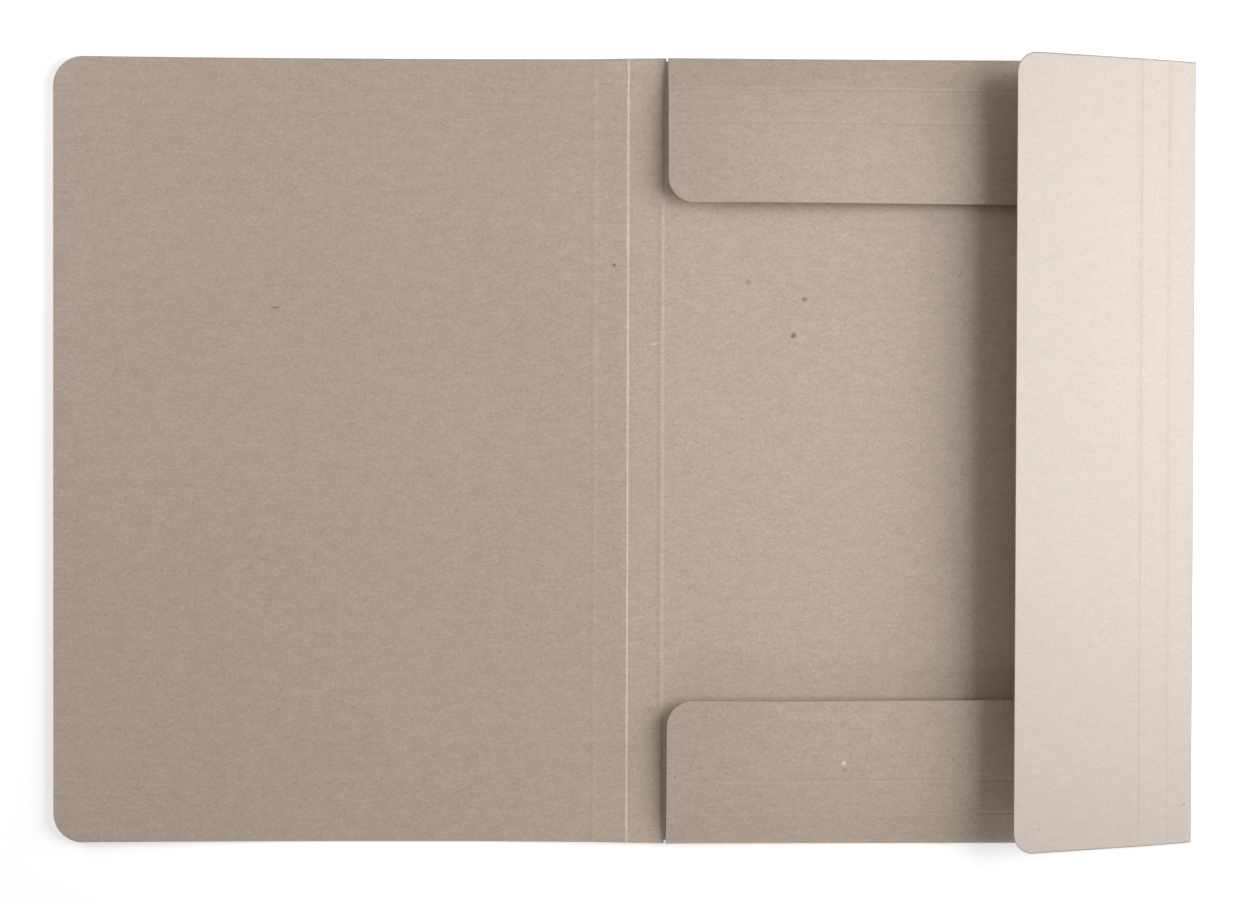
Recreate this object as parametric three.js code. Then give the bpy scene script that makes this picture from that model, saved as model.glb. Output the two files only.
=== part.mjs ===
// A three-flap document folder, lying open: one sheet of grey recycled card, die-cut, creased and
// folded. The cover and the spine are unfolded, and the two end flaps and the side flap are folded
// in over the back panel, sprung a little open.
// Millimetres. +X runs from the cover to the side flap, +Y towards the top flap, and +Z is up. The
// origin is on the table, under the middle of the folder's outer box.
//
// The sheet is worked out flat and then bent. A strip runs from the cover's free edge to the side
// flap's, and a line of card seen edge on says where each flat distance along it ends up. An end
// flap is a second such line, which starts at the back panel's edge. Both faces are the middle of
// the card moved half a thickness along its normal.

import * as THREE from 'three';
import { mergeGeometries, mergeVertices } from 'three/addons/utils/BufferGeometryUtils.js';

// The card
const CARD_THICKNESS = 0.5;

// Flat sizes of the panels, from crease line to crease line or to a cut edge
const COVER_WIDTH = 219.2;
const BACK_PANEL_WIDTH = 218.5;
const SIDE_FLAP_DEPTH = 83.4;
const END_FLAP_DEPTH = 59.8;
const FOLDED_HEIGHT = 320; // over the two end folds
const CUT_HEIGHT = 319; // of the cover and the side flap
const SPINE_CLEARANCE = 2.6; // from the spine's last crease to an end flap
const SIDE_FOLD_CLEARANCE = 5.5; // from an end flap to where the side fold starts to bend
const RELIEF_WIDTH = 0.8; // of the slit beside each end of an end fold

// Rounded corners
const COVER_CORNER_RADIUS = 12;
const SIDE_FLAP_CORNER_RADIUS = 8.5;
const END_FLAP_CORNER_RADIUS = 10.5;

// Creases: the spine has three, and each flap has two besides its fold, for a fuller folder
const SPINE_CREASES = 3;
const FLAP_CREASES = 2;
const CREASE_PITCH = 13.6;
const CREASE_WIDTH = 2.4;
const CREASE_HEIGHT = 0.25; // of the bead on the inner face, and depth of the groove on the outer
const END_FOLD_RADIUS = 1.1; // at the middle of the card
const SIDE_FOLD_RADIUS = 1.3;

// How the open folder lies, in degrees: the cover curls up at its free edge, rests on the table and
// then rises to the spine's middle crease, which is the ridge. From there the back panel comes down
// to the table in one gentle sag.
const COVER_CURL = 3.2;
const COVER_CURL_WIDTH = 125;
const COVER_REST_WIDTH = 40;
const COVER_RISE = 1.8;
const COVER_RISE_WIDTH = 20;
const PANEL_SAG_WIDTH = 110;

// How far the flaps spring open, in degrees: the tilt of a flap's root, then past each crease. The
// side flap holds the end flaps down, so beside its fold only this share of their tilt is left, and
// at the spine they droop by a share of it.
const SIDE_FLAP_TILTS = [22, 20.5, 18.5];
const END_FLAP_TILTS = [18, 7, 3];
const HELD_SHARE = 0.2;
const DROOP_SHARE = 0.3;
const DROOP_WIDTH = 65;

// Facets of each bend, bead and rounded corner
const FOLD_FACETS = 12;
const GENTLE_BEND_FACETS = 5;
const CREASE_FACETS = 4;
const CORNER_FACETS = 6;
const END_FLAP_COLUMNS = 12;

const { clamp, degToRad, lerp } = THREE.MathUtils;
const indices = (count) => Array.from({ length: count }, (_, index) => index);

// Distances in order, once each.
function inOrder(distances) {
  const order = [...distances].sort((a, b) => a - b);
  return order.filter((distance, index) => !index || distance - order[index - 1] > 1e-6);
}

// A line of card seen edge on leaves its start at a heading and turns evenly over each bend, whose
// middle is at a flat distance from the start. Its left side is the card's inner face, and a bead
// lifts the card towards it. This gives the place, and the heading of the surface, at a distance.
function follow(line, distance) {
  let [along, up, heading, done] = [0, 0, line.heading, 0];
  for (const bend of [...line.bends, { at: Infinity, width: 0 }]) {
    const straightEnd = Math.min(distance, bend.at - bend.width / 2);
    along += (straightEnd - done) * Math.cos(heading);
    up += (straightEnd - done) * Math.sin(heading);
    if (distance <= straightEnd) break;
    done = Math.min(distance, bend.at + bend.width / 2);
    const radius = bend.width / bend.turn;
    const turned = heading + (done - straightEnd) / radius;
    along += radius * (Math.sin(turned) - Math.sin(heading));
    up += radius * (Math.cos(heading) - Math.cos(turned));
    heading = turned;
    if (distance <= done) break;
  }
  const bead = line.beads.find((middle) => Math.abs(distance - middle) < CREASE_WIDTH / 2) ?? Infinity;
  const phase = clamp((distance - bead) / CREASE_WIDTH, -0.5, 0.5) * 2 * Math.PI;
  const lift = CREASE_HEIGHT * (1 + Math.cos(phase)) / 2;
  const slope = -CREASE_HEIGHT * Math.PI / CREASE_WIDTH * Math.sin(phase);
  return {
    along: along - lift * Math.sin(heading),
    up: up + lift * Math.cos(heading),
    heading: heading + Math.atan(slope),
  };
}

// The distances at which a line of card needs an edge for its bends and its beads.
function bendDistances(line) {
  const spread = (middle, width, facets) =>
    indices(facets + 1).map((index) => middle + width * (index / facets - 0.5));
  return [
    ...line.bends.flatMap((bend) => spread(bend.at, bend.width, bend.facets)),
    ...line.beads.flatMap((middle) => spread(middle, CREASE_WIDTH, CREASE_FACETS)),
  ];
}

// The bends of a flap, from the tilt of its root and of what follows each crease: a fold that turns
// it back over its panel, and a slight bend at each crease.
function flapBends(fold, radius, tilts) {
  return tilts.map((tilt, index) => {
    const turn = index ? tilts[index - 1] - tilt : Math.PI - tilt;
    const width = index ? CREASE_WIDTH : radius * turn;
    return { at: fold + index * CREASE_PITCH, turn, width, facets: index ? CREASE_FACETS : FOLD_FACETS };
  });
}

// How far a rounded corner stands back from its side edge, at a distance from the end edge, and the
// distances from the end edge at which its facets meet.
const cornerInset = (distance, radius) =>
  (distance < radius ? radius - Math.sqrt(radius ** 2 - (radius - distance) ** 2) : 0);
const cornerDistances = (radius) => indices(CORNER_FACETS + 1)
  .map((index) => radius * (1 - Math.cos((Math.PI / 2) * (index / CORNER_FACETS))));

// Flat distances of the creases and folds from the cover's free edge
const spineCreases = indices(SPINE_CREASES).map((index) => COVER_WIDTH + index * CREASE_PITCH);
const ridge = spineCreases[Math.floor(SPINE_CREASES / 2)];
const sideFold = spineCreases.at(-1) + BACK_PANEL_WIDTH;
const sideFlapCreases = indices(FLAP_CREASES).map((index) => sideFold + (index + 1) * CREASE_PITCH);
const stripLength = sideFold + SIDE_FLAP_DEPTH;

// The strip from the cover to the side flap, seen from the bottom flap's side. Its back panel falls
// from the ridge just enough to be level where it meets the table.
const curl = degToRad(COVER_CURL);
const rise = degToRad(COVER_RISE);
const riseStart = COVER_CURL_WIDTH + COVER_REST_WIDTH;
const ridgeHeight = COVER_RISE_WIDTH / rise * (1 - Math.cos(rise))
  + (ridge - riseStart - COVER_RISE_WIDTH) * Math.sin(rise);
const sagStart = spineCreases.at(-1) + CREASE_WIDTH / 2;
const fall = Math.asin(ridgeHeight / (sagStart - ridge + PANEL_SAG_WIDTH / 2));
const sideFlapBends = flapBends(sideFold, SIDE_FOLD_RADIUS, SIDE_FLAP_TILTS.map(degToRad));
const sideFoldStart = sideFold - sideFlapBends[0].width / 2;
const strip = {
  heading: -curl,
  bends: [
    { at: COVER_CURL_WIDTH / 2, turn: curl, width: COVER_CURL_WIDTH, facets: GENTLE_BEND_FACETS },
    { at: riseStart + COVER_RISE_WIDTH / 2, turn: rise, width: COVER_RISE_WIDTH, facets: GENTLE_BEND_FACETS },
    { at: ridge, turn: -rise - fall, width: CREASE_WIDTH, facets: CREASE_FACETS },
    { at: sagStart + PANEL_SAG_WIDTH / 2, turn: fall, width: PANEL_SAG_WIDTH, facets: GENTLE_BEND_FACETS },
    ...sideFlapBends,
  ],
  beads: [...spineCreases, ...sideFlapCreases],
};

// Where the end flaps lie along the strip. Beside them the strip's edge steps in to the root of
// their folds.
const foldReach = END_FOLD_RADIUS + CARD_THICKNESS / 2;
const endFlapStart = spineCreases.at(-1) + SPINE_CLEARANCE;
const endFlapEnd = sideFoldStart - SIDE_FOLD_CLEARANCE;
const stepStart = endFlapStart - RELIEF_WIDTH;
const stepEnd = endFlapEnd + RELIEF_WIDTH;
const endFlapColumns = inOrder([
  ...indices(END_FLAP_COLUMNS + 1)
    .map((index) => lerp(endFlapStart, endFlapEnd, index / END_FLAP_COLUMNS)),
  ...bendDistances(strip).filter((distance) => distance > endFlapStart && distance < endFlapEnd),
]);

// Half the strip's height: rounded at its free edges, with tapers from the cut height to the folded
// height over the spine, and back again before the side fold.
function halfHeight(distance) {
  const taper = clamp((distance - spineCreases[0]) / (stepStart - spineCreases[0]), 0, 1)
    - clamp((distance - stepEnd) / (sideFoldStart - stepEnd), 0, 1);
  return lerp(CUT_HEIGHT, FOLDED_HEIGHT, taper) / 2
    - cornerInset(distance, COVER_CORNER_RADIUS)
    - cornerInset(stripLength - distance, SIDE_FLAP_CORNER_RADIUS);
}

// A patch of the card's middle surface: a grid over columns, which run towards the side flap, and
// rows, which run towards the top flap. Surface gives a place and the inner face's normal.
function patch(columns, rows, surface) {
  const grid = new THREE.PlaneGeometry(1, 1, columns.length - 1, rows.length - 1);
  grid.deleteAttribute('uv');
  rows.toReversed().forEach((row, rowIndex) => columns.forEach((column, columnIndex) => {
    const { place, normal } = surface(column, row);
    const vertex = rowIndex * columns.length + columnIndex;
    grid.attributes.position.setXYZ(vertex, ...place);
    grid.attributes.normal.setXYZ(vertex, ...normal);
  }));
  return grid;
}

// The strip's patches: a band that the end flaps hang on, and beside the spine, the cover and the
// side flap the margins that stand out to the strip's own edges.
function stripPatches() {
  const surface = (distance, edge) => {
    const { along, up, heading } = follow(strip, distance);
    return {
      place: new THREE.Vector3(along, edge(distance), up),
      normal: new THREE.Vector3(-Math.sin(heading), 0, Math.cos(heading)),
    };
  };
  const distances = inOrder([
    ...bendDistances(strip),
    ...cornerDistances(COVER_CORNER_RADIUS),
    ...cornerDistances(SIDE_FLAP_CORNER_RADIUS).map((distance) => stripLength - distance),
    ...[stepStart, stepEnd, ...endFlapColumns],
  ]);
  const outer = halfHeight;
  const inner = (distance) => halfHeight(distance) - foldReach;
  const negated = (edge) => (distance) => -edge(distance);
  const margins = [
    distances.filter((distance) => distance <= stepStart),
    distances.filter((distance) => distance >= stepEnd),
  ];
  return [
    patch(distances, [negated(inner), inner], surface),
    ...margins.flatMap((zone) => [
      patch(zone, [inner, outer], surface),
      patch(zone, [negated(outer), negated(inner)], surface),
    ]),
  ];
}

// The share of an end flap's tilt at a distance along the strip.
function springShare(distance) {
  const held = (1 - HELD_SHARE) * (distance - endFlapStart) / (endFlapEnd - endFlapStart);
  const droop = DROOP_SHARE * Math.max(0, 1 - (distance - endFlapStart) / DROOP_WIDTH) ** 2;
  return 1 - held - droop;
}

// An end flap, on the side of +Y or -Y. Each column of it is a line of card that leaves the back
// panel's edge.
function endFlapPatch(side) {
  const across = new THREE.Vector3(0, side, 0);
  const root = FOLDED_HEIGHT / 2 - foldReach;
  const lines = endFlapColumns.map((column) => {
    const tilts = END_FLAP_TILTS.map((tilt) => degToRad(tilt) * springShare(column));
    const fold = END_FOLD_RADIUS * (Math.PI - tilts[0]) / 2;
    const bends = flapBends(fold, END_FOLD_RADIUS, tilts);
    const line = { heading: 0, bends, beads: bends.slice(1).map((bend) => bend.at) };
    const length = fold + END_FLAP_DEPTH;
    const corner = cornerDistances(END_FLAP_CORNER_RADIUS).map((distance) => length - distance);
    return { line, length, distances: inOrder([...bendDistances(line), ...corner]) };
  });
  const surface = (columnIndex, rowIndex) => {
    const { line, length, distances } = lines[columnIndex];
    const inset = cornerInset(length - distances[rowIndex], END_FLAP_CORNER_RADIUS);
    const share = (endFlapColumns[columnIndex] - endFlapStart) / (endFlapEnd - endFlapStart);
    const panel = follow(strip, lerp(endFlapStart + inset, endFlapEnd - inset, share));
    const panelNormal = new THREE.Vector3(-Math.sin(panel.heading), 0, Math.cos(panel.heading));
    const { along, up, heading } = follow(line, distances[rowIndex]);
    return {
      place: new THREE.Vector3(panel.along, 0, panel.up)
        .addScaledVector(across, root + along)
        .addScaledVector(panelNormal, up),
      normal: panelNormal.multiplyScalar(Math.cos(heading)).addScaledVector(across, -Math.sin(heading)),
    };
  };
  const rows = indices(lines[0].distances.length);
  return patch(indices(lines.length), side > 0 ? rows : rows.toReversed(), surface);
}

// A closed body from patches of the middle surface: an inner face, an outer face, and a cut edge
// wherever only one triangle meets a side.
function thickened(patches, thickness) {
  const middle = mergeVertices(mergeGeometries(patches));
  const { position, normal } = middle.attributes;
  const count = position.count;
  const face = (offset) => indices(count).flatMap((vertex) => new THREE.Vector3()
    .fromBufferAttribute(position, vertex)
    .addScaledVector(new THREE.Vector3().fromBufferAttribute(normal, vertex), offset)
    .toArray());
  const corners = [...middle.index.array];
  const sides = corners.map((corner, index) => [corner, corners[index % 3 < 2 ? index + 1 : index - 2]]);
  const known = new Set(sides.map(([from, to]) => `${from} ${to}`));
  const cutEdges = sides
    .filter(([from, to]) => !known.has(`${to} ${from}`))
    .flatMap(([from, to]) => [to, from, from + count, to, from + count, to + count]);
  const body = new THREE.BufferGeometry();
  body.setAttribute('position', new THREE.Float32BufferAttribute([
    ...face(thickness / 2),
    ...face(-thickness / 2),
  ], 3));
  body.setIndex([...corners, ...corners.map((corner) => corner + count).reverse(), ...cutEdges]);
  return body;
}

// Sets a body on the table, over the origin.
function seat(body) {
  body.computeBoundingBox();
  const { min, max } = body.boundingBox;
  body.translate(-(min.x + max.x) / 2, -(min.y + max.y) / 2, -min.z);
  body.computeVertexNormals();
  return body;
}

const greyCard = new THREE.MeshStandardMaterial({ color: 0xbbab9c, roughness: 0.92, metalness: 0 });
const patches = [...stripPatches(), endFlapPatch(1), endFlapPatch(-1)];
const folderSheet = new THREE.Mesh(seat(thickened(patches, CARD_THICKNESS)), greyCard);
folderSheet.name = 'folder_sheet';

const folder = new THREE.Group();
folder.add(folderSheet);

export default folder;
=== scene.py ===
"""The looks of a three-flap document folder that lies open: one folded sheet of grey recycled card.

The sheet is worked out flat and then bent. A strip runs from the cover's free edge to the side
flap's, and a line of card seen edge on says where each flat distance along it ends up. An end flap
is a second such line, which starts at the back panel's edge. All lengths are in metres.
"""

import math
from typing import NamedTuple

import bpy
import numpy as np
from bpy.props import FloatProperty, FloatVectorProperty, IntProperty, PointerProperty
from mathutils import Euler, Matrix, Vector


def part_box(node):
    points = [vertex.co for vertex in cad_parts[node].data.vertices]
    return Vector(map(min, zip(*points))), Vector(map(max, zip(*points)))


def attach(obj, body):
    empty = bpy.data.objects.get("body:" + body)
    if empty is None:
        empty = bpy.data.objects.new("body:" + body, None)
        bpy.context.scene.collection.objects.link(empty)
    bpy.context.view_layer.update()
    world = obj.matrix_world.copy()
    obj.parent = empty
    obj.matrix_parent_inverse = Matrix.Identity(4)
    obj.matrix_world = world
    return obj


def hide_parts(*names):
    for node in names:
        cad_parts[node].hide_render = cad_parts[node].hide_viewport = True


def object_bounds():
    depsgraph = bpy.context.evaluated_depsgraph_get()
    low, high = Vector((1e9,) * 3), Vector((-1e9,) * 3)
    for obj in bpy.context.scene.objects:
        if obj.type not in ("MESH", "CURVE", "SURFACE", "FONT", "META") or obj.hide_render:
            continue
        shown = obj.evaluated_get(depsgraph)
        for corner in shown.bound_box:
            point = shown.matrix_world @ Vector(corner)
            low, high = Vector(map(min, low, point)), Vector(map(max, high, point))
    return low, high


bl_info = {
    "name": "Three-flap document folder",
    "version": (1, 0, 0),
    "blender": (4, 5, 0),
    "location": "3D View > Sidebar > Folder",
    "description": "Makes an open document folder of folded card, its finish and a plain stage",
    "category": "Object",
}

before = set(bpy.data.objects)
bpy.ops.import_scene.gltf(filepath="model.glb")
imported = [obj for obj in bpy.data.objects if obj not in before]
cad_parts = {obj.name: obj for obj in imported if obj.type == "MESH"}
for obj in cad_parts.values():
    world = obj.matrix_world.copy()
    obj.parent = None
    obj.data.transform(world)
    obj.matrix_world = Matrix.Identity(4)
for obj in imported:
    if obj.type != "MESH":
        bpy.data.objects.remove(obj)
CAD_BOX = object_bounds()

SHEET_NODE = "folder_sheet"
SHEET_BODY = "root"
PICTURE_SIZE = (1250, 906)
SENSOR_WIDTH_MM = 36.0

# Distances that differ by less than this are the same.
NEAR = 1e-9
# Flat distances are rounded to this many decimals before repeats are dropped, and places in space
# are before points that coincide are welded.
DISTANCE_DECIMALS = 9
WELD_DECIMALS = 8
# Faces along the sheet's gentle bends, and rows in the margins beside the end flaps.
CURL_FACETS = 24
RISE_FACETS = 12
CREASE_FACETS = 8
SAG_FACETS = 24
MARGIN_ROWS = 3
# A flat place has this as its depth on the inner face, and minus this on the outer one.
INNER_DEPTH = 0.1
# The side flap's painted highlight, a greyer colour and weaker grain, starts this far before the side
# fold, where the card isn't in view, and is reached this far before it.
SIDE_SHEEN_START = 0.006
SIDE_SHEEN_END = 0.002
# A single mark's own depth, which is too little to reach the other face.
MARK_DEPTH = 0.02


class SheetSizes(bpy.types.PropertyGroup):
    """Flat sizes of the card sheet."""

    thickness: FloatProperty(
        name="Card thickness", description="Thickness of the card", default=0.0005, unit="LENGTH")
    cover_width: FloatProperty(
        name="Cover width", description="From the free edge to the first spine crease",
        default=0.2192, unit="LENGTH")
    panel_width: FloatProperty(
        name="Back panel width", description="From the last spine crease to the side fold",
        default=0.2185, unit="LENGTH")
    side_flap: FloatProperty(
        name="Side flap depth", description="From the side fold to the free edge",
        default=0.0834, unit="LENGTH")
    end_flap: FloatProperty(
        name="End flap depth", description="From the end fold to the free edge",
        default=0.0598, unit="LENGTH")
    folded_height: FloatProperty(
        name="Folded height", description="Over the two end folds", default=0.32, unit="LENGTH")
    cut_height: FloatProperty(
        name="Cut height", description="Height of the cover and the side flap",
        default=0.319, unit="LENGTH")
    spine_clearance: FloatProperty(
        name="Spine clearance", description="From the last spine crease to an end flap",
        default=0.0026, unit="LENGTH")
    fold_clearance: FloatProperty(
        name="Side fold clearance", description="From an end flap to the side fold's bend",
        default=0.0055, unit="LENGTH")
    relief: FloatProperty(
        name="Relief width", description="Width of the slit beside an end fold",
        default=0.0008, unit="LENGTH")
    cover_corner: FloatProperty(
        name="Cover corner", description="Radius of the cover's corners", default=0.012, unit="LENGTH")
    side_corner: FloatProperty(
        name="Side flap corner", description="Radius of the side flap's corners",
        default=0.0085, unit="LENGTH")
    end_corner: FloatProperty(
        name="End flap corner", description="Radius of the end flaps' corners",
        default=0.0105, unit="LENGTH")
    crease_pitch: FloatProperty(
        name="Crease pitch", description="From one crease to the next", default=0.0136, unit="LENGTH")
    crease_width: FloatProperty(
        name="Crease width", description="Width of a flap crease", default=0.0024, unit="LENGTH")
    spine_bead_width: FloatProperty(
        name="Spine bead width", description="Width of an unused spine crease's bead",
        default=0.0034, unit="LENGTH")
    ridge_bead_width: FloatProperty(
        name="Ridge bead width", description="Width of the spine crease that the cover folds at",
        default=0.0014, unit="LENGTH")
    spine_bead_heights: FloatVectorProperty(
        name="Spine bead heights", description="Heights of the beads from the cover on", size=3,
        default=(0.00011, 0.0001, 0.00016), unit="LENGTH")
    side_crease_depth: FloatProperty(
        name="Side flap crease depth", description="Depth of the side flap's grooves",
        default=0.00018, unit="LENGTH")
    end_crease_depth: FloatProperty(
        name="End flap crease depth", description="Depth of the end flaps' grooves",
        default=0.00013, unit="LENGTH")
    end_radius: FloatProperty(
        name="End fold radius", description="At the middle of the card", default=0.0011, unit="LENGTH")
    side_radius: FloatProperty(
        name="Side fold radius", description="At the middle of the card", default=0.0013, unit="LENGTH")


class SheetPose(bpy.types.PropertyGroup):
    """How the open sheet lies."""

    curl: FloatProperty(
        name="Cover curl", description="How far the cover's free edge turns up",
        default=math.radians(3.2), unit="ROTATION")
    curl_width: FloatProperty(
        name="Curl width", description="Stretch of the cover that curls", default=0.125, unit="LENGTH")
    rest_width: FloatProperty(
        name="Rest width", description="Stretch of the cover on the table", default=0.04, unit="LENGTH")
    rise: FloatProperty(
        name="Cover rise", description="Slope up to the spine's middle crease",
        default=math.radians(1.8), unit="ROTATION")
    rise_width: FloatProperty(
        name="Rise width", description="Stretch over which the slope starts",
        default=0.02, unit="LENGTH")
    sag_width: FloatProperty(
        name="Panel sag width", description="Stretch over which the back panel becomes level",
        default=0.11, unit="LENGTH")
    side_tilts: FloatVectorProperty(
        name="Side flap tilts", description="Tilt at the root and past each crease", size=3,
        default=(math.radians(22), math.radians(20.5), math.radians(18.5)), unit="ROTATION")
    end_tilts: FloatVectorProperty(
        name="End flap tilts", description="Tilt at the root and past each crease", size=3,
        default=(math.radians(18), math.radians(7), math.radians(3)), unit="ROTATION")
    held_share: FloatProperty(
        name="Held share", description="Share of the end flaps' tilt left beside the side fold",
        default=0.2, subtype="FACTOR")
    droop_share: FloatProperty(
        name="Droop share", description="Share of the end flaps' tilt lost at the spine",
        default=0.3, subtype="FACTOR")
    droop_width: FloatProperty(
        name="Droop width", description="Stretch of an end flap that droops",
        default=0.065, unit="LENGTH")


class SheetMesh(bpy.types.PropertyGroup):
    """How finely the card is cut into faces."""

    plain_step: FloatProperty(
        name="Plain step", description="Face length on plain card", default=0.0045, unit="LENGTH")
    fold_facets: IntProperty(
        name="Fold facets", description="Faces around a fold", default=28, subtype="UNSIGNED")
    bead_facets: IntProperty(
        name="Bead facets", description="Faces over a crease", default=14, subtype="UNSIGNED")
    corner_facets: IntProperty(
        name="Corner facets", description="Faces around a corner", default=20, subtype="UNSIGNED")


class CardFinish(bpy.types.PropertyGroup):
    """Colours and grain of the card, with painted highlights past the side fold and on the ridge crease.
    """

    inner_color: FloatVectorProperty(
        name="Inner colour", description="Pulp colour of the inner face", subtype="COLOR",
        default=(0.497, 0.391, 0.311))
    outer_color: FloatVectorProperty(
        name="Outer colour", description="Pulp colour of the outer face", subtype="COLOR",
        default=(0.454, 0.356, 0.281))
    # Painted highlight: this greyer colour past the side fold stands in for the highlight that falls on
    # the side flap; the card there is not greyer.
    side_sheen_color: FloatVectorProperty(
        name="Side flap colour", description="Outer face past the side fold, which is greyer",
        subtype="COLOR", default=(0.420, 0.356, 0.303))
    edge_color: FloatVectorProperty(
        name="Edge colour", description="Colour of the cut edges", subtype="COLOR",
        default=(0.56, 0.48, 0.41))
    # The ridge crease's crest colour is partly wear of the crushed fibres and partly a painted highlight
    # of light on its raised line.
    crest_wear_and_highlight_color: FloatVectorProperty(
        name="Crest colour", description="Colour of the rubbed crest of a crease", subtype="COLOR",
        default=(0.70, 0.62, 0.54))
    # Painted highlight: weaker grain past the side fold, where the highlight washes the grain out.
    side_sheen_contrast: FloatProperty(
        name="Side flap contrast", description="How strong the grain is past the side fold",
        default=0.55, subtype="FACTOR")
    # How strong the crest's paler colour is: partly wear, partly painted highlight.
    crest_wear_and_highlight: FloatProperty(
        name="Rub", description="How rubbed the ridge crease's crest is", default=0.95,
        subtype="FACTOR")
    felt_height: FloatProperty(
        name="Felt height", description="Height of the card's felt-like surface", default=0.00006,
        unit="LENGTH")
    grain_size: FloatProperty(
        name="Grain size", description="Size of the finest mottling", default=0.00105, unit="LENGTH")
    roughness: FloatProperty(
        name="Roughness", description="Roughness of the card", default=0.47, subtype="FACTOR")
    gloss: FloatProperty(
        name="Gloss", description="Specular level of the card", default=0.95, subtype="FACTOR")


class StageSettings(bpy.types.PropertyGroup):
    """The floor, the lamps and the camera."""

    floor_color: FloatVectorProperty(
        name="Floor colour", description="Colour of the floor", subtype="COLOR", default=(0.9, 0.9, 0.9))
    floor_lift: FloatProperty(
        name="Floor lift", description="How much whiter the floor looks in the picture", default=0.5,
        subtype="FACTOR")
    lamp_level: FloatProperty(
        name="Lamp level", description="Level of all the lamps together", default=0.91,
        subtype="FACTOR")
    sky_level: FloatProperty(
        name="Sky level", description="Level of the light from all round", default=0.03,
        subtype="FACTOR")
    camera_place: FloatVectorProperty(
        name="Camera place", description="Where the camera stands", subtype="XYZ_LENGTH",
        default=(-0.01408, 0.01293, 0.94066))
    camera_turn: FloatVectorProperty(
        name="Camera turn", description="Turn of the camera from straight down", subtype="EULER",
        default=(-0.0144, -0.0145, 0.0031))
    focal_pixels: FloatProperty(
        name="Focal length in pixels", description="Of the picture at its full width", default=2303.3,
        subtype="PIXEL")


class Bend(NamedTuple):
    """A stretch of card that turns evenly. The middle, turn and width may be arrays, one value for
    each column of a flap."""

    at: object
    turn: object
    width: object
    facets: int


class Bead(NamedTuple):
    """A crease's raised line: where its middle is, and how wide and high it is."""

    at: object
    width: float
    height: float


class Line(NamedTuple):
    """Card seen edge on: the heading that it starts at, its bends in order and its beads."""

    heading: float
    bends: tuple
    beads: tuple


def follow(line, distance):
    """Places and headings of a line of card at whole arrays of flat distances from its start.

    Each run before a bend adds its length times the cosine and sine of the heading. A bend of radius
    width over turn adds the radius times the change of the heading's sine and cosine. A bead lifts
    the card by half its height times one plus the cosine of the phase across it, along the normal.
    """
    along = np.zeros_like(distance)
    up = np.zeros_like(distance)
    heading = line.heading
    turned = np.full_like(distance, line.heading)
    start = 0.0
    for bend in line.bends:
        bend_start = bend.at - bend.width / 2
        run = np.clip(distance, start, bend_start) - start
        radius = bend.width / bend.turn
        swing = (np.clip(distance, bend_start, bend_start + bend.width) - bend_start) / radius
        along += run * np.cos(heading) + radius * (np.sin(heading + swing) - np.sin(heading))
        up += run * np.sin(heading) + radius * (np.cos(heading) - np.cos(heading + swing))
        turned += swing
        heading = heading + bend.turn
        start = bend_start + bend.width
    run = np.maximum(distance, start) - start
    along += run * np.cos(heading)
    up += run * np.sin(heading)
    lift = np.zeros_like(distance)
    slope = np.zeros_like(distance)
    for bead in line.beads:
        phase = np.clip((distance - bead.at) / bead.width, -0.5, 0.5) * 2 * math.pi
        lift += bead.height * (1 + np.cos(phase)) / 2
        slope -= bead.height * math.pi / bead.width * np.sin(phase)
    return along - lift * np.sin(turned), up + lift * np.cos(turned), turned + np.arctan(slope)


def flap_bends(fold, radius, tilts, pitch, crease_width, facets):
    """A fold that turns a flap back over its panel, and a slight bend at each of its creases."""
    turn = math.pi - tilts[0]
    bends = [Bend(fold, turn, radius * turn, facets)]
    for index in range(1, len(tilts)):
        turn = tilts[index - 1] - tilts[index]
        bends.append(Bend(fold + index * pitch, turn, crease_width, CREASE_FACETS))
    return bends


def corner_inset(distance, radius):
    """How far a rounded corner stands back from its side edge, at a distance from the end edge: the
    radius less the height of a circle of that radius."""
    inside = np.clip(radius - distance, 0.0, radius)
    return radius - np.sqrt(radius ** 2 - inside ** 2)


def corner_steps(radius, facets):
    """Distances from the end edge at which a rounded corner's faces meet, at even angles."""
    return radius * (1 - np.cos(np.linspace(0, math.pi / 2, facets + 1)))


def spread(middle, width, facets):
    """Even steps over a width around a middle."""
    return middle + width * np.linspace(-0.5, 0.5, facets + 1)


def fill(distances, step):
    """Distances in order, once each, with even steps in between that are no longer than step."""
    joined = np.concatenate([np.atleast_1d(group) for group in distances])
    distances = np.unique(np.round(joined, DISTANCE_DECIMALS))
    pieces = [
        np.linspace(low, high, max(1, math.ceil((high - low) / step)), endpoint=False)
        for low, high in zip(distances[:-1], distances[1:])
    ]
    return np.append(np.concatenate(pieces), distances[-1])


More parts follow.
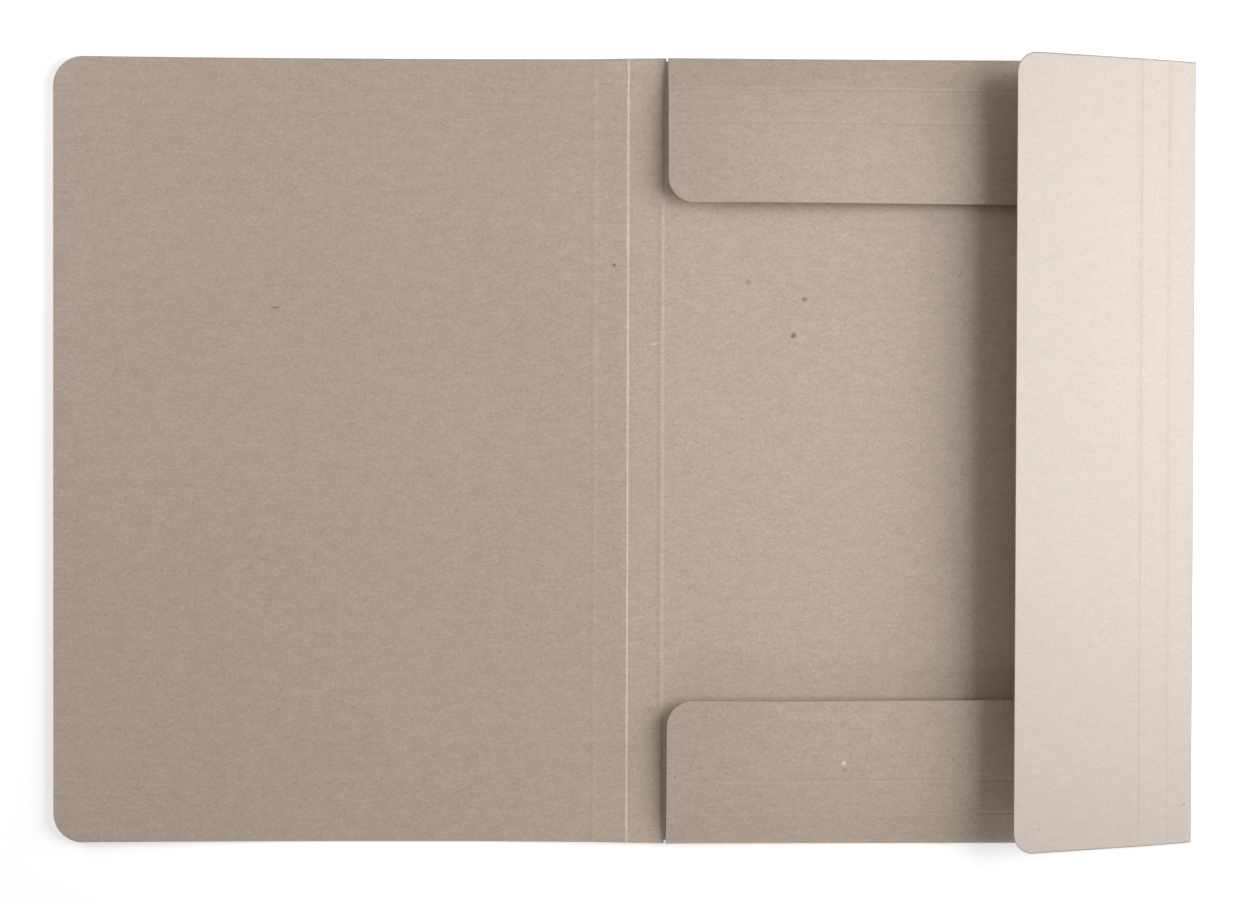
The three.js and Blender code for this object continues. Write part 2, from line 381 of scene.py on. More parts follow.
class Layout:
    """The flat distances of the sheet and its lines of card, from the sizes and the pose."""

    def __init__(self, sizes, pose, mesh):
        self.sizes = sizes
        self.pose = pose
        self.mesh = mesh
        self.creases = [sizes.cover_width + index * sizes.crease_pitch for index in range(3)]
        self.ridge = self.creases[1]
        self.side_fold = self.creases[-1] + sizes.panel_width
        self.length = self.side_fold + sizes.side_flap
        self.fold_reach = sizes.end_radius + sizes.thickness / 2
        self.strip = self.strip_line()
        side_width = sizes.side_radius * (math.pi - pose.side_tilts[0])
        self.side_start = self.side_fold - side_width / 2
        self.flap_start = self.creases[-1] + sizes.spine_clearance
        self.flap_end = self.side_start - sizes.fold_clearance
        self.step_start = self.flap_start - sizes.relief
        self.step_end = self.flap_end + sizes.relief

    def strip_line(self):
        """The strip from the cover to the side flap. Its back panel falls from the ridge just
        enough to be level where it meets the table."""
        sizes = self.sizes
        pose = self.pose
        rise_start = pose.curl_width + pose.rest_width
        ridge_height = (
            pose.rise_width / pose.rise * (1 - math.cos(pose.rise))
            + (self.ridge - rise_start - pose.rise_width) * math.sin(pose.rise)
        )
        sag_start = self.creases[-1] + sizes.crease_width / 2
        fall = math.asin(ridge_height / (sag_start - self.ridge + pose.sag_width / 2))
        side_bends = flap_bends(
            self.side_fold, sizes.side_radius, list(pose.side_tilts), sizes.crease_pitch,
            sizes.crease_width, self.mesh.fold_facets)
        bends = (
            Bend(pose.curl_width / 2, pose.curl, pose.curl_width, CURL_FACETS),
            Bend(rise_start + pose.rise_width / 2, pose.rise, pose.rise_width, RISE_FACETS),
            Bend(self.ridge, -pose.rise - fall, sizes.crease_width, CREASE_FACETS),
            Bend(sag_start + pose.sag_width / 2, fall, pose.sag_width, SAG_FACETS),
            *side_bends,
        )
        widths = (sizes.spine_bead_width, sizes.ridge_bead_width, sizes.spine_bead_width)
        beads = (
            *(Bead(*bead) for bead in zip(self.creases, widths, sizes.spine_bead_heights)),
            *(Bead(bend.at, sizes.crease_width, sizes.side_crease_depth) for bend in side_bends[1:]),
        )
        return Line(-pose.curl, bends, beads)

    def stops(self, line):
        """The distances at which a line of card needs an edge for its bends and its beads."""
        bends = [spread(bend.at, bend.width, bend.facets) for bend in line.bends]
        beads = [spread(bead.at, bead.width, self.mesh.bead_facets) for bead in line.beads]
        return bends + beads

    def half_height(self, distance):
        """Half the strip's height: rounded at its free edges, with tapers from the cut height to
        the folded height over the spine, and back again before the side fold."""
        sizes = self.sizes
        rising = (distance - self.creases[0]) / (self.step_start - self.creases[0])
        falling = (distance - self.step_end) / (self.side_start - self.step_end)
        taper = np.clip(rising, 0, 1) - np.clip(falling, 0, 1)
        return (
            (sizes.cut_height + (sizes.folded_height - sizes.cut_height) * taper) / 2
            - corner_inset(distance, sizes.cover_corner)
            - corner_inset(self.length - distance, sizes.side_corner)
        )

    def spring(self, distance):
        """The share of an end flap's tilt at a distance along the strip. It falls evenly to the
        held share at the side fold, and droops by a square law at the spine."""
        pose = self.pose
        reach = distance - self.flap_start
        held = (1 - pose.held_share) * reach / (self.flap_end - self.flap_start)
        droop = pose.droop_share * np.maximum(0, 1 - reach / pose.droop_width) ** 2
        return 1 - held - droop


class Patch(NamedTuple):
    """A grid of the card's middle surface, as arrays over rows, towards +Y, and columns, towards +X:
    places, normals of the inner face, flat places on the sheet and how near the ridge crease's crest a
    place is, which sets the crest's paler wear and painted highlight."""

    place: np.ndarray
    normal: np.ndarray
    flat: np.ndarray
    crest: np.ndarray


def crest_mask(distance, middle, width):
    """How near a point is to the crest of a bead, from 0 at its foot to 1: half of one plus the
    cosine of the phase across it."""
    phase = np.clip((distance - middle) / width, -0.5, 0.5) * 2 * math.pi
    return (1 + np.cos(phase)) / 2


def strip_patch(layout, columns, low, high, rows):
    """A patch of the strip between two edges, which are functions of the flat distance: straight
    across, and along it the strip's line of card."""
    share = np.linspace(0, 1, rows)[:, None]
    y = low(columns) * (1 - share) + high(columns) * share
    along, up, heading = (np.broadcast_to(value, y.shape) for value in follow(layout.strip, columns))
    distance = np.broadcast_to(columns, y.shape)
    return Patch(
        np.stack([along, y, up], axis=-1),
        np.stack([-np.sin(heading), np.zeros_like(y), np.cos(heading)], axis=-1),
        np.stack([distance, y], axis=-1),
        crest_mask(distance, layout.ridge, layout.sizes.ridge_bead_width),
    )


def flap_patch(layout, columns, side):
    """An end flap, on the side of +Y or -Y: each column is a line of card that leaves the back
    panel's edge, and its tilt changes from column to column."""
    sizes = layout.sizes
    pose = layout.pose
    tilts = [tilt * layout.spring(columns) for tilt in pose.end_tilts]
    fold = sizes.end_radius * (math.pi - tilts[0]) / 2
    bends = flap_bends(
        fold, sizes.end_radius, tilts, sizes.crease_pitch, sizes.crease_width,
        layout.mesh.fold_facets)
    beads = tuple(Bead(bend.at, sizes.crease_width, sizes.end_crease_depth) for bend in bends[1:])
    line = Line(0.0, tuple(bends), beads)
    mean_fold = float(fold.mean())
    past_fold = [
        0.0,
        *(spread(index * sizes.crease_pitch, sizes.crease_width, layout.mesh.bead_facets)
          for index in (1, 2)),
        sizes.end_flap - corner_steps(sizes.end_corner, layout.mesh.corner_facets),
    ]
    bend_rows = np.linspace(0, 1, layout.mesh.fold_facets + 1)[:-1, None]
    free_rows = fill([np.atleast_1d(mean_fold), *past_fold], layout.mesh.plain_step)
    free_rows = free_rows[free_rows >= mean_fold][:, None]
    distance = np.concatenate([2 * fold * bend_rows, fold + free_rows * np.ones_like(columns)])
    distance[layout.mesh.fold_facets] = 2 * fold
    inset = corner_inset(fold + sizes.end_flap - distance, sizes.end_corner)
    share = (columns - layout.flap_start) / (layout.flap_end - layout.flap_start)
    across = layout.flap_start + inset + share * (layout.flap_end - layout.flap_start - 2 * inset)
    panel_along, panel_up, panel_heading = follow(layout.strip, across)
    along, up, heading = follow(line, distance)
    reach = sizes.folded_height / 2 - layout.fold_reach + along
    panel_normal = np.stack(
        [-np.sin(panel_heading), np.zeros_like(reach), np.cos(panel_heading)], axis=-1)
    place = np.stack([panel_along, side * reach, panel_up], axis=-1) + panel_normal * up[..., None]
    normal = panel_normal * np.cos(heading)[..., None]
    normal[..., 1] -= side * np.sin(heading)
    flat = np.stack([across, side * (sizes.folded_height / 2 - layout.fold_reach + distance)], axis=-1)
    patch = Patch(place, normal, flat, np.zeros_like(distance))
    return patch if side > 0 else Patch(*(array[::-1] for array in patch))


def sheet_patches(layout):
    """The strip's band that the end flaps hang on, the margins beside it, and the end flaps."""
    sizes = layout.sizes
    mesh = layout.mesh
    flap_columns = fill(
        [layout.flap_start, layout.flap_end,
         layout.flap_start + corner_steps(sizes.end_corner, mesh.corner_facets)],
        mesh.plain_step)
    columns = fill(
        [0.0, layout.length, layout.step_start, layout.step_end, flap_columns,
         *layout.stops(layout.strip),
         corner_steps(sizes.cover_corner, mesh.corner_facets),
         layout.length - corner_steps(sizes.side_corner, mesh.corner_facets)],
        mesh.plain_step)
    over_flap = columns[(columns >= layout.flap_start - NEAR) & (columns <= layout.flap_end + NEAR)]
    margins = [columns[columns <= layout.step_start + NEAR], columns[columns >= layout.step_end - NEAR]]

    def inner(distance):
        return layout.half_height(distance) - layout.fold_reach

    def inner_low(distance):
        return -inner(distance)

    def outer_low(distance):
        return -layout.half_height(distance)

    rows = math.ceil(sizes.folded_height / mesh.plain_step) + 1
    patches = [strip_patch(layout, columns, inner_low, inner, rows)]
    for margin in margins:
        patches.append(strip_patch(layout, margin, inner, layout.half_height, MARGIN_ROWS))
        patches.append(strip_patch(layout, margin, outer_low, inner_low, MARGIN_ROWS))
    return patches + [flap_patch(layout, over_flap, side) for side in (1, -1)]


class Shell(NamedTuple):
    """A closed shell: its points, quads, flat places, crests and which quads are the cut edge."""

    points: np.ndarray
    quads: np.ndarray
    flat: np.ndarray
    crest: np.ndarray
    is_cut: np.ndarray


def thickened(patches, thickness):
    """The closed shell of the patches. Points that meet are welded, both faces are the middle
    surface moved half a thickness along its normal, and a cut edge closes each side that only one
    quad has."""
    place = np.concatenate([patch.place.reshape(-1, 3) for patch in patches])
    normal = np.concatenate([patch.normal.reshape(-1, 3) for patch in patches])
    flat = np.concatenate([patch.flat.reshape(-1, 2) for patch in patches])
    crest = np.concatenate([patch.crest.ravel() for patch in patches])
    quads = []
    start = 0
    for patch in patches:
        rows, columns = patch.crest.shape
        index = start + np.arange(rows * columns).reshape(rows, columns)
        corners = (index[:-1, :-1], index[:-1, 1:], index[1:, 1:], index[1:, :-1])
        quads.append(np.stack(corners, axis=-1).reshape(-1, 4))
        start += rows * columns
    _, kept, welded = np.unique(
        np.round(place, WELD_DECIMALS), axis=0, return_index=True, return_inverse=True)
    quads = welded.reshape(-1)[np.concatenate(quads)]
    place, normal, flat, crest = place[kept], normal[kept], flat[kept], crest[kept]
    count = len(place)
    sides = np.stack([quads, np.roll(quads, -1, axis=1)], axis=-1).reshape(-1, 2)
    forward = sides[:, 0] * count + sides[:, 1]
    backward = sides[:, 1] * count + sides[:, 0]
    rim = sides[~np.isin(forward, backward)]
    cut = np.stack([rim[:, 1], rim[:, 0], rim[:, 0] + count, rim[:, 1] + count], axis=-1)
    lift = normal * thickness / 2
    face = np.full((count, 1), INNER_DEPTH)
    return Shell(
        np.concatenate([place + lift, place - lift]),
        np.concatenate([quads, quads[:, ::-1] + count, cut]),
        np.concatenate([np.hstack([flat, face]), np.hstack([flat, -face])]),
        np.concatenate([crest, crest]),
        np.repeat([False, True], [2 * len(quads), len(cut)]),
    )


def mesh_from(name, shell):
    """A mesh of the shell, with its flat places, crests and cut edges as attributes."""
    mesh = bpy.data.meshes.new(name)
    mesh.vertices.add(len(shell.points))
    mesh.vertices.foreach_set("co", shell.points.astype(np.float32).ravel())
    mesh.loops.add(shell.quads.size)
    mesh.loops.foreach_set("vertex_index", shell.quads.astype(np.int32).ravel())
    mesh.polygons.add(len(shell.quads))
    mesh.polygons.foreach_set("loop_start", np.arange(0, shell.quads.size, 4, dtype=np.int32))
    mesh.update(calc_edges=True)
    mesh.polygons.foreach_set("use_smooth", ~shell.is_cut)
    flat = mesh.attributes.new("flat_place", "FLOAT_VECTOR", "POINT")
    flat.data.foreach_set("vector", shell.flat.astype(np.float32).ravel())
    crest = mesh.attributes.new("crest", "FLOAT", "POINT")
    crest.data.foreach_set("value", shell.crest.astype(np.float32))
    cut = mesh.attributes.new("cut_edge", "FLOAT", "FACE")
    cut.data.foreach_set("value", shell.is_cut.astype(np.float32))
    if mesh.validate():
        raise RuntimeError("The card sheet's mesh had faults")
    return mesh


class NodeTree:
    """A node tree to write in: it places nodes in columns and links them."""

    def __init__(self, tree):
        self.tree = tree
        self.count = 0

    def node(self, kind, inputs=None, **settings):
        node = self.tree.nodes.new(kind)
        node.location = (220 * (self.count // 6), -260 * (self.count % 6))
        self.count += 1
        for key, value in settings.items():
            setattr(node, key, value)
        for key, value in (inputs or {}).items():
            self.feed(node.inputs[key], value)
        return node

    def feed(self, socket, value):
        if isinstance(value, bpy.types.NodeSocket):
            self.tree.links.new(value, socket)
        else:
            socket.default_value = value

    def math(self, operation, *values):
        return self.node("ShaderNodeMath", dict(enumerate(values)), operation=operation).outputs[0]

    def vector_math(self, operation, *values):
        return self.node("ShaderNodeVectorMath", dict(enumerate(values)), operation=operation).outputs[0]

    def mix(self, factor, first, second, blend="MIX"):
        node = self.node("ShaderNodeMix", data_type="RGBA", blend_type=blend)
        self.feed(node.inputs["Factor"], factor)
        self.feed(node.inputs[6], first)
        self.feed(node.inputs[7], second)
        return node.outputs[2]

    def ramp(self, value, low, high, to_low=0.0, to_high=1.0):
        inputs = {"Value": value, "From Min": low, "From Max": high, "To Min": to_low, "To Max": to_high}
        return self.node("ShaderNodeMapRange", inputs, clamp=True).outputs[0]


def new_group(name, inputs, outputs):
    """An empty shader group with named sockets. Inputs are (name, type, default)."""
    tree = bpy.data.node_groups.new(name, "ShaderNodeTree")
    for label, kind, default in inputs:
        socket = tree.interface.new_socket(label, in_out="INPUT", socket_type=kind)
        if default is not None:
            socket.default_value = default
    for label, kind in outputs:
        tree.interface.new_socket(label, in_out="OUTPUT", socket_type=kind)
    write = NodeTree(tree)
    return write, write.node("NodeGroupInput").outputs, write.node("NodeGroupOutput")


def pulp_group():
    """Recycled pulp: clouds, flocs and streaks of fibres along the grain. They come as one lightness,
    as how much warmer or cooler the fibres are, and as the felt-like height that goes with them."""
    write, given, result = new_group(
        "Recycled pulp",
        [("Place", "NodeSocketVector", None), ("Grain", "NodeSocketFloat", 0.0009),
         ("Contrast", "NodeSocketFloat", 1.0)],
        [("Lightness", "NodeSocketFloat"), ("Warmth", "NodeSocketFloat"), ("Height", "NodeSocketFloat")])
    stretched = write.vector_math("MULTIPLY", given["Place"], (0.5, 1.0, 1.0))
    fine_scale = write.math("DIVIDE", 1.0, given["Grain"])
    clouds = write.node("ShaderNodeTexNoise", {"Vector": given["Place"], "Scale": 26.0, "Detail": 2.0})
    flocs = write.node("ShaderNodeTexNoise", {"Vector": stretched, "Scale": 260.0, "Detail": 3.0})
    streaks = write.node("ShaderNodeTexNoise", {"Vector": stretched, "Scale": fine_scale, "Detail": 3.0})
    grit = write.node(
        "ShaderNodeTexNoise", {"Vector": given["Place"], "Scale": fine_scale, "Detail": 4.0})
    total = 0.0
    for noise, weight in ((clouds, 0.09), (flocs, 0.28), (streaks, 0.3), (grit, 0.5)):
        centred = write.math("SUBTRACT", noise.outputs["Fac"], 0.5)
        total = write.math("MULTIPLY_ADD", centred, weight, total)
    write.feed(result.inputs["Lightness"], write.math("MULTIPLY_ADD", total, given["Contrast"], 1.0))
    fibres = write.node("ShaderNodeTexNoise", {"Vector": given["Place"], "Scale": 620.0, "Detail": 2.0})
    warmth = write.math("MULTIPLY", write.math("SUBTRACT", fibres.outputs["Fac"], 0.5), 0.12)
    write.feed(result.inputs["Warmth"], write.math("MULTIPLY", warmth, given["Contrast"]))
    height = write.math("MULTIPLY_ADD", streaks.outputs["Fac"], 0.6, grit.outputs["Fac"])
    write.feed(result.inputs["Height"], height)
    return write.tree


def wobbled(write, place, scale, amount):
    """A place pushed about by a noise of that scale, so that the outlines drawn with it are uneven."""
    noise = write.node("ShaderNodeTexNoise", {"Vector": place, "Scale": scale, "Detail": 1.0})
    shift = write.vector_math("SUBTRACT", noise.outputs["Color"], (0.5, 0.5, 0.5))
    push = write.node("ShaderNodeVectorMath", {0: shift, "Scale": amount}, operation="SCALE")
    return write.vector_math("ADD", place, push.outputs[0])


def speck_group():
    """Scattered specks: a dot in some cells of an uneven grid, its size its own. Share is the part
    of the cells that have one."""
    write, given, result = new_group(
        "Scattered specks",
        [("Place", "NodeSocketVector", None), ("Spacing", "NodeSocketFloat", 0.01),
         ("Size", "NodeSocketFloat", 0.0004), ("Share", "NodeSocketFloat", 0.5)],
        [("Mask", "NodeSocketFloat")])
    scale = write.math("DIVIDE", 1.0, given["Spacing"])
    place = wobbled(write, given["Place"], 1500.0, 0.0006)
    cells = write.node(
        "ShaderNodeTexVoronoi", {"Vector": place, "Scale": scale}, voronoi_dimensions="2D")
    chance = write.node("ShaderNodeSeparateColor", {"Color": cells.outputs["Color"]})
    has_dot = write.math("LESS_THAN", chance.outputs["Red"], given["Share"])
    radius = write.math("MULTIPLY", given["Size"], write.ramp(chance.outputs["Green"], 0, 1, 0.25, 0.6))
    reach = write.math("MULTIPLY", cells.outputs["Distance"], given["Spacing"])
    edge = write.math("DIVIDE", reach, radius)
    dot = write.ramp(edge, 0.6, 1.2, 1.0, 0.0)
    write.feed(result.inputs["Mask"], write.math("MULTIPLY", dot, has_dot))
    return write.tree


def mark_group():
    """A single mark: an oval around a flat place, as long and as wide as its size and turned by an
    angle, with a soft edge that the pulp makes uneven. It shows on one face, as the flat place and
    the size have a depth too."""
    write, given, result = new_group(
        "Single mark",
        [("Place", "NodeSocketVector", None), ("Centre", "NodeSocketVector", (0.0, 0.0, INNER_DEPTH)),
         ("Size", "NodeSocketVector", (0.002, 0.002, MARK_DEPTH)), ("Turn", "NodeSocketFloat", 0.0)],
        [("Mask", "NodeSocketFloat")])
    place = wobbled(write, given["Place"], 1700.0, 0.0005)
    offset = write.vector_math("SUBTRACT", place, given["Centre"])
    backwards = write.math("MULTIPLY", given["Turn"], -1.0)
    turned = write.node(
        "ShaderNodeVectorRotate", {"Vector": offset, "Angle": backwards}, rotation_type="Z_AXIS")
    share = write.vector_math("DIVIDE", turned.outputs[0], given["Size"])
    reach = write.node("ShaderNodeVectorMath", {0: share}, operation="LENGTH").outputs["Value"]
    write.feed(result.inputs["Mask"], write.ramp(reach, 0.28, 0.62, 1.0, 0.0))
    return write.tree


class Speck(NamedTuple):
    """A kind of speck: its spacing and size in metres, the share of places that have one, its colour
    and its strength."""

    spacing: float
    size: float
    share: float
    color: tuple
    strength: float


SPECKS = (
    Speck(0.0045, 0.0005, 0.35, (0.20, 0.15, 0.11), 0.45),
    Speck(0.021, 0.0011, 0.4, (0.30, 0.19, 0.13), 0.4),
    Speck(0.0035, 0.0005, 0.3, (0.80, 0.76, 0.70), 0.3),
)


class Mark(NamedTuple):
    """A mark in the pulp. Its flat place, length and width are in millimetres and its turn is in
    degrees. The face is 1 for the inner one and -1 for the outer one."""

    place: tuple
    size: tuple
    turn: float
    face: int
    color: tuple
    strength: float


DARK_CHAFF = (0.13, 0.13, 0.10)
BROWN_CHAFF = (0.22, 0.13, 0.09)
RED_CHAFF = (0.42, 0.22, 0.17)
PALE_CHAFF = (0.85, 0.80, 0.74)
MARKS = (
    Mark((305.0, 62.3), (2.3, 2.0), 20, 1, DARK_CHAFF, 0.85),
    Mark((300.6, 47.6), (2.7, 2.3), 50, 1, DARK_CHAFF, 1.0),
    Mark((282.1, 69.2), (2.9, 2.2), 0, 1, RED_CHAFF, 0.75),
    Mark((227.4, 75.9), (1.5, 1.3), 0, 1, DARK_CHAFF, 1.0),
    Mark((163.3, -24.4), (2.6, 2.0), 30, 1, BROWN_CHAFF, 0.3),
    Mark((178.9, -91.2), (3.6, 2.6), 0, 1, RED_CHAFF, 0.18),
    Mark((274.3, -24.8), (2.2, 1.3), 0, 1, BROWN_CHAFF, 0.2),
    Mark((368.8, 72.4), (2.6, 1.6), 65, 1, BROWN_CHAFF, 0.35),
    Mark((321.3, -194.7), (1.9, 1.7), 0, -1, PALE_CHAFF, 0.7),
    Mark((321.6, -192.0), (1.9, 1.5), 0, -1, BROWN_CHAFF, 0.5),
    Mark((537.1, -150.0), (1.3, 1.1), 0, -1, BROWN_CHAFF, 0.35),
    Mark((538.2, 20.8), (2.2, 1.7), 80, -1, RED_CHAFF, 0.12),
    Mark((386.2, 167.7), (1.5, 1.2), 0, -1, DARK_CHAFF, 0.4),
    Mark((244.0, 44.0), (4.2, 0.8), 12, 1, PALE_CHAFF, 0.4),
    Mark((89.5, 58.2), (3.4, 0.9), -5, 1, BROWN_CHAFF, 0.8),
    Mark((470.6, -143.9), (3.8, 0.9), -17, -1, BROWN_CHAFF, 0.35),
    Mark((469.4, -143.5), (1.3, 1.1), 0, -1, BROWN_CHAFF, 0.4),
)


def specked(write, color, place, contrast):
    """The colour with every kind of speck over it, as strong as the contrast lets them be."""
    group = speck_group()
    for speck in SPECKS:
        inputs = {"Place": place, "Spacing": speck.spacing, "Size": speck.size, "Share": speck.share}
        mask = write.node("ShaderNodeGroup", inputs, node_tree=group).outputs["Mask"]
        strength = write.math("MULTIPLY", contrast, speck.strength)
        color = write.mix(write.math("MULTIPLY", mask, strength), color, (*speck.color, 1))
    return color


def marked(write, color, place):
    """The colour with every single mark over it."""
    group = mark_group()
    for mark in MARKS:
        inputs = {
            "Place": place,
            "Centre": (*(0.001 * value for value in mark.place), INNER_DEPTH * mark.face),
            "Size": (*(0.001 * value for value in mark.size), MARK_DEPTH),
            "Turn": math.radians(mark.turn),
        }
        mask = write.node("ShaderNodeGroup", inputs, node_tree=group).outputs["Mask"]
        color = write.mix(write.math("MULTIPLY", mask, mark.strength), color, (*mark.color, 1))
    return color


def card_material(finish, side_fold):
    """Grey recycled card: pulp mottling, specks, single marks and paler cut edges. Past the side fold a
    painted highlight makes the colour greyer and the mottling and specks weaker, and the ridge crease's
    crest is painted paler, partly as wear of the crushed fibres and partly as a painted highlight."""
    material = bpy.data.materials.new("recycled_grey_card")
    material.use_nodes = True
    material.node_tree.nodes.clear()
    write = NodeTree(material.node_tree)
    place = write.node("ShaderNodeAttribute", attribute_name="flat_place").outputs["Vector"]
    crest = write.node("ShaderNodeAttribute", attribute_name="crest").outputs["Fac"]
    cut = write.node("ShaderNodeAttribute", attribute_name="cut_edge").outputs["Fac"]
    parts = write.node("ShaderNodeSeparateXYZ", {"Vector": place}).outputs
    is_inner = write.math("GREATER_THAN", parts["Z"], 0.0)
    # Painted highlight on the side flap: past the side fold the outer face gets a greyer colour and
    # weaker grain and specks.
    side_sheen_share = write.ramp(parts["X"], side_fold - SIDE_SHEEN_START, side_fold - SIDE_SHEEN_END)
    contrast = write.math("MULTIPLY_ADD", side_sheen_share, finish.side_sheen_contrast - 1, 1.0)
    inputs = {"Place": place, "Grain": finish.grain_size, "Contrast": contrast}
    pulp = write.node("ShaderNodeGroup", inputs, node_tree=pulp_group())
    outer = write.mix(side_sheen_share, (*finish.outer_color, 1), (*finish.side_sheen_color, 1))
    color = write.mix(is_inner, outer, (*finish.inner_color, 1))
    # The ridge crease's crest painted paler: partly wear, partly a painted highlight.
    rubbed_and_highlit = write.math("MULTIPLY", write.math("MULTIPLY", crest, is_inner), finish.crest_wear_and_highlight)
    color = write.mix(rubbed_and_highlit, color, (*finish.crest_wear_and_highlight_color, 1))
    color = write.mix(cut, color, (*finish.edge_color, 1))
    lightness, warmth = pulp.outputs["Lightness"], pulp.outputs["Warmth"]
    tone = write.node("ShaderNodeCombineColor", {
        "Red": write.math("ADD", lightness, warmth),
        "Green": lightness,
        "Blue": write.math("SUBTRACT", lightness, warmth),
    })
    color = write.mix(1.0, color, tone.outputs[0], "MULTIPLY")
    color = specked(write, color, place, contrast)
    color = marked(write, color, place)
    bump = write.node("ShaderNodeBump", {
        "Height": pulp.outputs["Height"],
        "Distance": finish.felt_height,
        "Strength": 0.6,
    })
    shader = write.node("ShaderNodeBsdfPrincipled", {"Base Color": color, "Normal": bump.outputs[0]})
    shader.inputs["Roughness"].default_value = finish.roughness
    shader.inputs["Specular IOR Level"].default_value = finish.gloss
    output = write.node("ShaderNodeOutputMaterial")
    write.tree.links.new(shader.outputs[0], output.inputs["Surface"])
    return material


def link(name, data):
    """A new object of that data in the scene."""
    item = bpy.data.objects.new(name, data)
    bpy.context.scene.collection.objects.link(item)
    return item


def seated(shell, node):
    """The shell over the middle of a CAD node's box, with its lowest point on the box's floor."""
    low, high = (np.array(corner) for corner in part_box(node))
    own_low, own_high = shell.points.min(axis=0), shell.points.max(axis=0)
    shift = (low + high) / 2 - (own_low + own_high) / 2
    shift[2] = low[2] - own_low[2]
    return shell._replace(points=shell.points + shift)


class FOLDER_OT_card_sheet(bpy.types.Operator):
    """Make the folded card sheet and its finish"""

    bl_idname = "folder.card_sheet"
    bl_label = "Card sheet"

    def execute(self, context):
        scene = context.scene
        sizes = scene.folder_sizes
        layout = Layout(sizes, scene.folder_pose, scene.folder_mesh)
        shell = seated(thickened(sheet_patches(layout), sizes.thickness), SHEET_NODE)
        sheet = link("card_sheet", mesh_from("card_sheet", shell))
        sheet.data.materials.append(card_material(scene.folder_finish, layout.side_fold))
        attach(sheet, SHEET_BODY)
        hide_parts(SHEET_NODE)
        return {"FINISHED"}


def seen_directly(write):
    """1 for rays from the camera, from a mirror or through glass, and 0 for light that falls on
    things."""
    path = write.node("ShaderNodeLightPath").outputs
    either = write.math("MAXIMUM", path["Is Camera Ray"], path["Is Glossy Ray"])
    return write.math("MAXIMUM", either, path["Is Transmission Ray"])


def floor_material(stage):
    """A pale matt floor, whiter where the camera or a mirror sees it, so it keeps its shadows."""
    material = bpy.data.materials.new("pale_floor")
    material.use_nodes = True
    material.node_tree.nodes.clear()
    write = NodeTree(material.node_tree)
    diffuse = write.node("ShaderNodeBsdfDiffuse", {"Color": (*stage.floor_color, 1)})
    seen = seen_directly(write)
    lift = write.node("ShaderNodeEmission", {"Strength": write.math("MULTIPLY", seen, stage.floor_lift)})
    both = write.node("ShaderNodeAddShader", {0: diffuse.outputs[0], 1: lift.outputs[0]})
    output = write.node("ShaderNodeOutputMaterial")
    write.tree.links.new(both.outputs[0], output.inputs["Surface"])
    return material


def make_floor(stage):
    """A plane just under the folder."""
    reach = 6.0
    drop = 0.00005
    mesh = bpy.data.meshes.new("floor")
    corners = np.array([(-1, -1), (1, -1), (1, 1), (-1, 1)]) * reach
    points = np.hstack([corners, np.full((4, 1), CAD_BOX[0][2] - drop)])
    mesh.from_pydata(points.tolist(), [], [(0, 1, 2, 3)])
    floor = link("floor", mesh)
    mesh.materials.append(floor_material(stage))


def make_sky(stage):
    """Even light from all round, seen as white."""
    world = bpy.data.worlds.new("sky")
    bpy.context.scene.world = world
    world.use_nodes = True
    world.node_tree.nodes.clear()
    write = NodeTree(world.node_tree)
    level = write.ramp(seen_directly(write), 0.0, 1.0, stage.sky_level, 1.0)
    background = write.node("ShaderNodeBackground", {"Strength": level, "Color": (1, 1, 1, 1)})
    output = write.node("ShaderNodeOutputWorld")
    write.tree.links.new(background.outputs[0], output.inputs["Surface"])


class Lamp(NamedTuple):
    """A soft lamp turned towards the folder: its angle over the table, its turn from +X towards +Y,
    both in degrees, its distance, its width and height, and the level that it gives a white card."""

    name: str
    elevation: float
    azimuth: float
    distance: float
    size: tuple
    level: float


SOFT_LAMPS = (
    Lamp("key_lamp", 37, 8, 0.72, (0.6, 0.66), 1.22),
    Lamp("fill_lamp", 24, 155, 0.9, (0.5, 0.5), 0.42),
    Lamp("front_lamp", 18, -90, 2.2, (1.2, 0.9), 0.26),
)


def make_lamp(lamp, level):
    """A lamp lights a white card that faces it to white when its power is the square of pi times
    its distance."""
    data = bpy.data.lights.new(lamp.name, "AREA")
    data.shape = "RECTANGLE"
    data.size, data.size_y = lamp.size
    data.energy = level * lamp.level * (math.pi * lamp.distance) ** 2
    item = link(lamp.name, data)
    elevation, azimuth = math.radians(lamp.elevation), math.radians(lamp.azimuth)
    direction = Vector((
        math.cos(elevation) * math.cos(azimuth),
        math.cos(elevation) * math.sin(azimuth),
        math.sin(elevation),
    ))
    item.location = direction * lamp.distance
    item.rotation_euler = direction.to_track_quat("Z", "Y").to_euler()


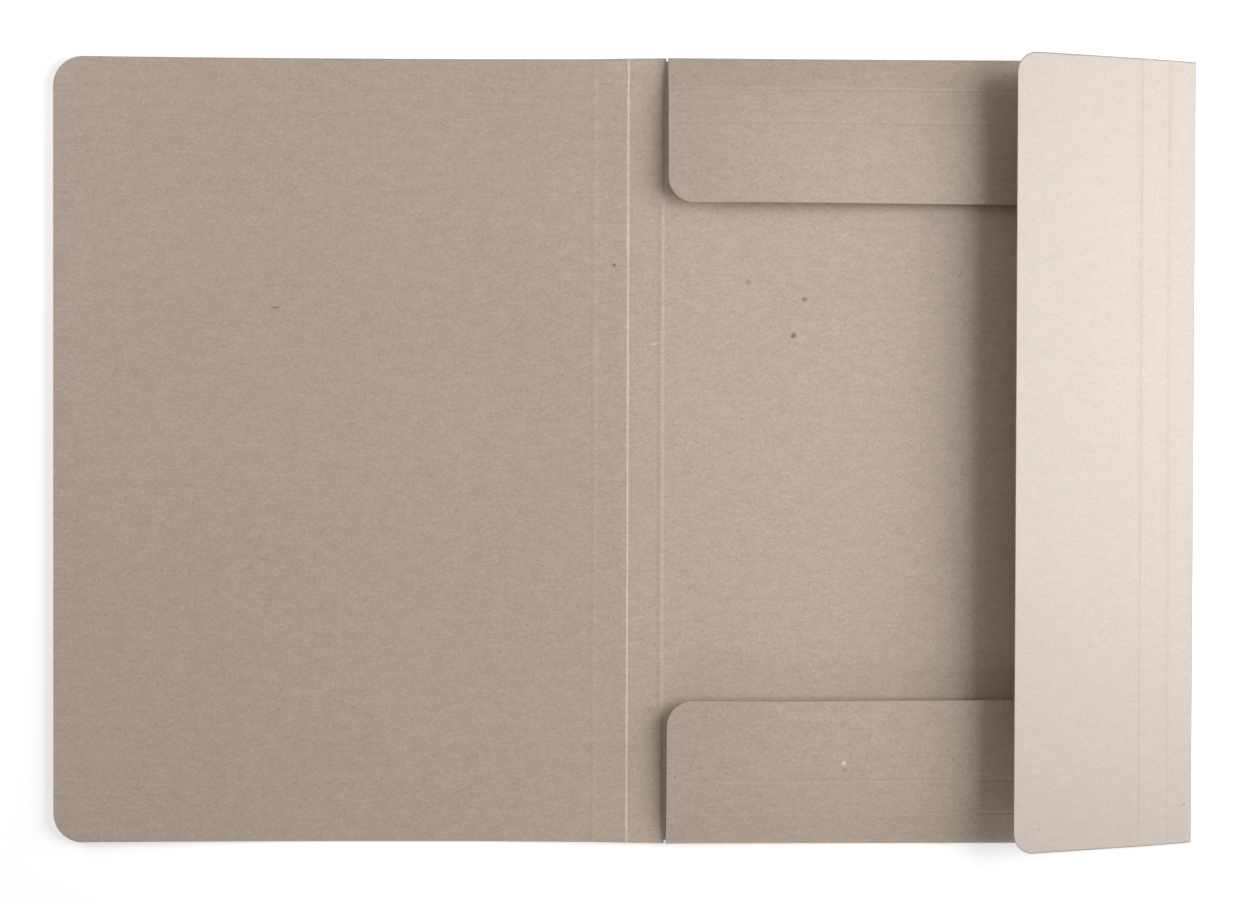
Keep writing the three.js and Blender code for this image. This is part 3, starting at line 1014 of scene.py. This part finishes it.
def make_camera(stage):
    """The camera, over the folder and looking almost straight down."""
    data = bpy.data.cameras.new("camera")
    data.sensor_fit = "HORIZONTAL"
    data.sensor_width = SENSOR_WIDTH_MM
    data.lens = stage.focal_pixels / PICTURE_SIZE[0] * SENSOR_WIDTH_MM
    data.clip_start = 0.01
    data.clip_end = 50.0
    camera = link("camera", data)
    camera.location = stage.camera_place
    camera.rotation_euler = Euler(stage.camera_turn, "XYZ")
    bpy.context.scene.camera = camera


class FOLDER_OT_stage(bpy.types.Operator):
    """Make the floor, the lamps, the sky and the camera"""

    bl_idname = "folder.stage"
    bl_label = "Stage"

    def execute(self, context):
        stage = context.scene.folder_stage
        context.scene.view_settings.view_transform = "Standard"
        make_camera(stage)
        make_floor(stage)
        make_sky(stage)
        for lamp in SOFT_LAMPS:
            make_lamp(lamp, stage.lamp_level)
        return {"FINISHED"}


SETTINGS = {
    "folder_sizes": SheetSizes,
    "folder_pose": SheetPose,
    "folder_mesh": SheetMesh,
    "folder_finish": CardFinish,
    "folder_stage": StageSettings,
}


class FOLDER_PT_panel(bpy.types.Panel):
    """Lists the folder's sizes and colours, and what makes its pieces"""

    bl_idname = "FOLDER_PT_panel"
    bl_label = "Document folder"
    bl_space_type = "VIEW_3D"
    bl_region_type = "UI"
    bl_category = "Folder"

    def draw(self, context):
        for name, settings in SETTINGS.items():
            box = self.layout.box()
            for key in settings.__annotations__:
                box.prop(getattr(context.scene, name), key)
        self.layout.operator(FOLDER_OT_card_sheet.bl_idname)
        self.layout.operator(FOLDER_OT_stage.bl_idname)


CLASSES = (*SETTINGS.values(), FOLDER_OT_card_sheet, FOLDER_OT_stage, FOLDER_PT_panel)


def register():
    for item in CLASSES:
        bpy.utils.register_class(item)
    for name, settings in SETTINGS.items():
        setattr(bpy.types.Scene, name, PointerProperty(type=settings))


def unregister():
    for name in SETTINGS:
        delattr(bpy.types.Scene, name)
    for item in reversed(CLASSES):
        bpy.utils.unregister_class(item)


def main():
    register()
    bpy.ops.folder.card_sheet()
    bpy.ops.folder.stage()


if __name__ == "__main__":
    main()
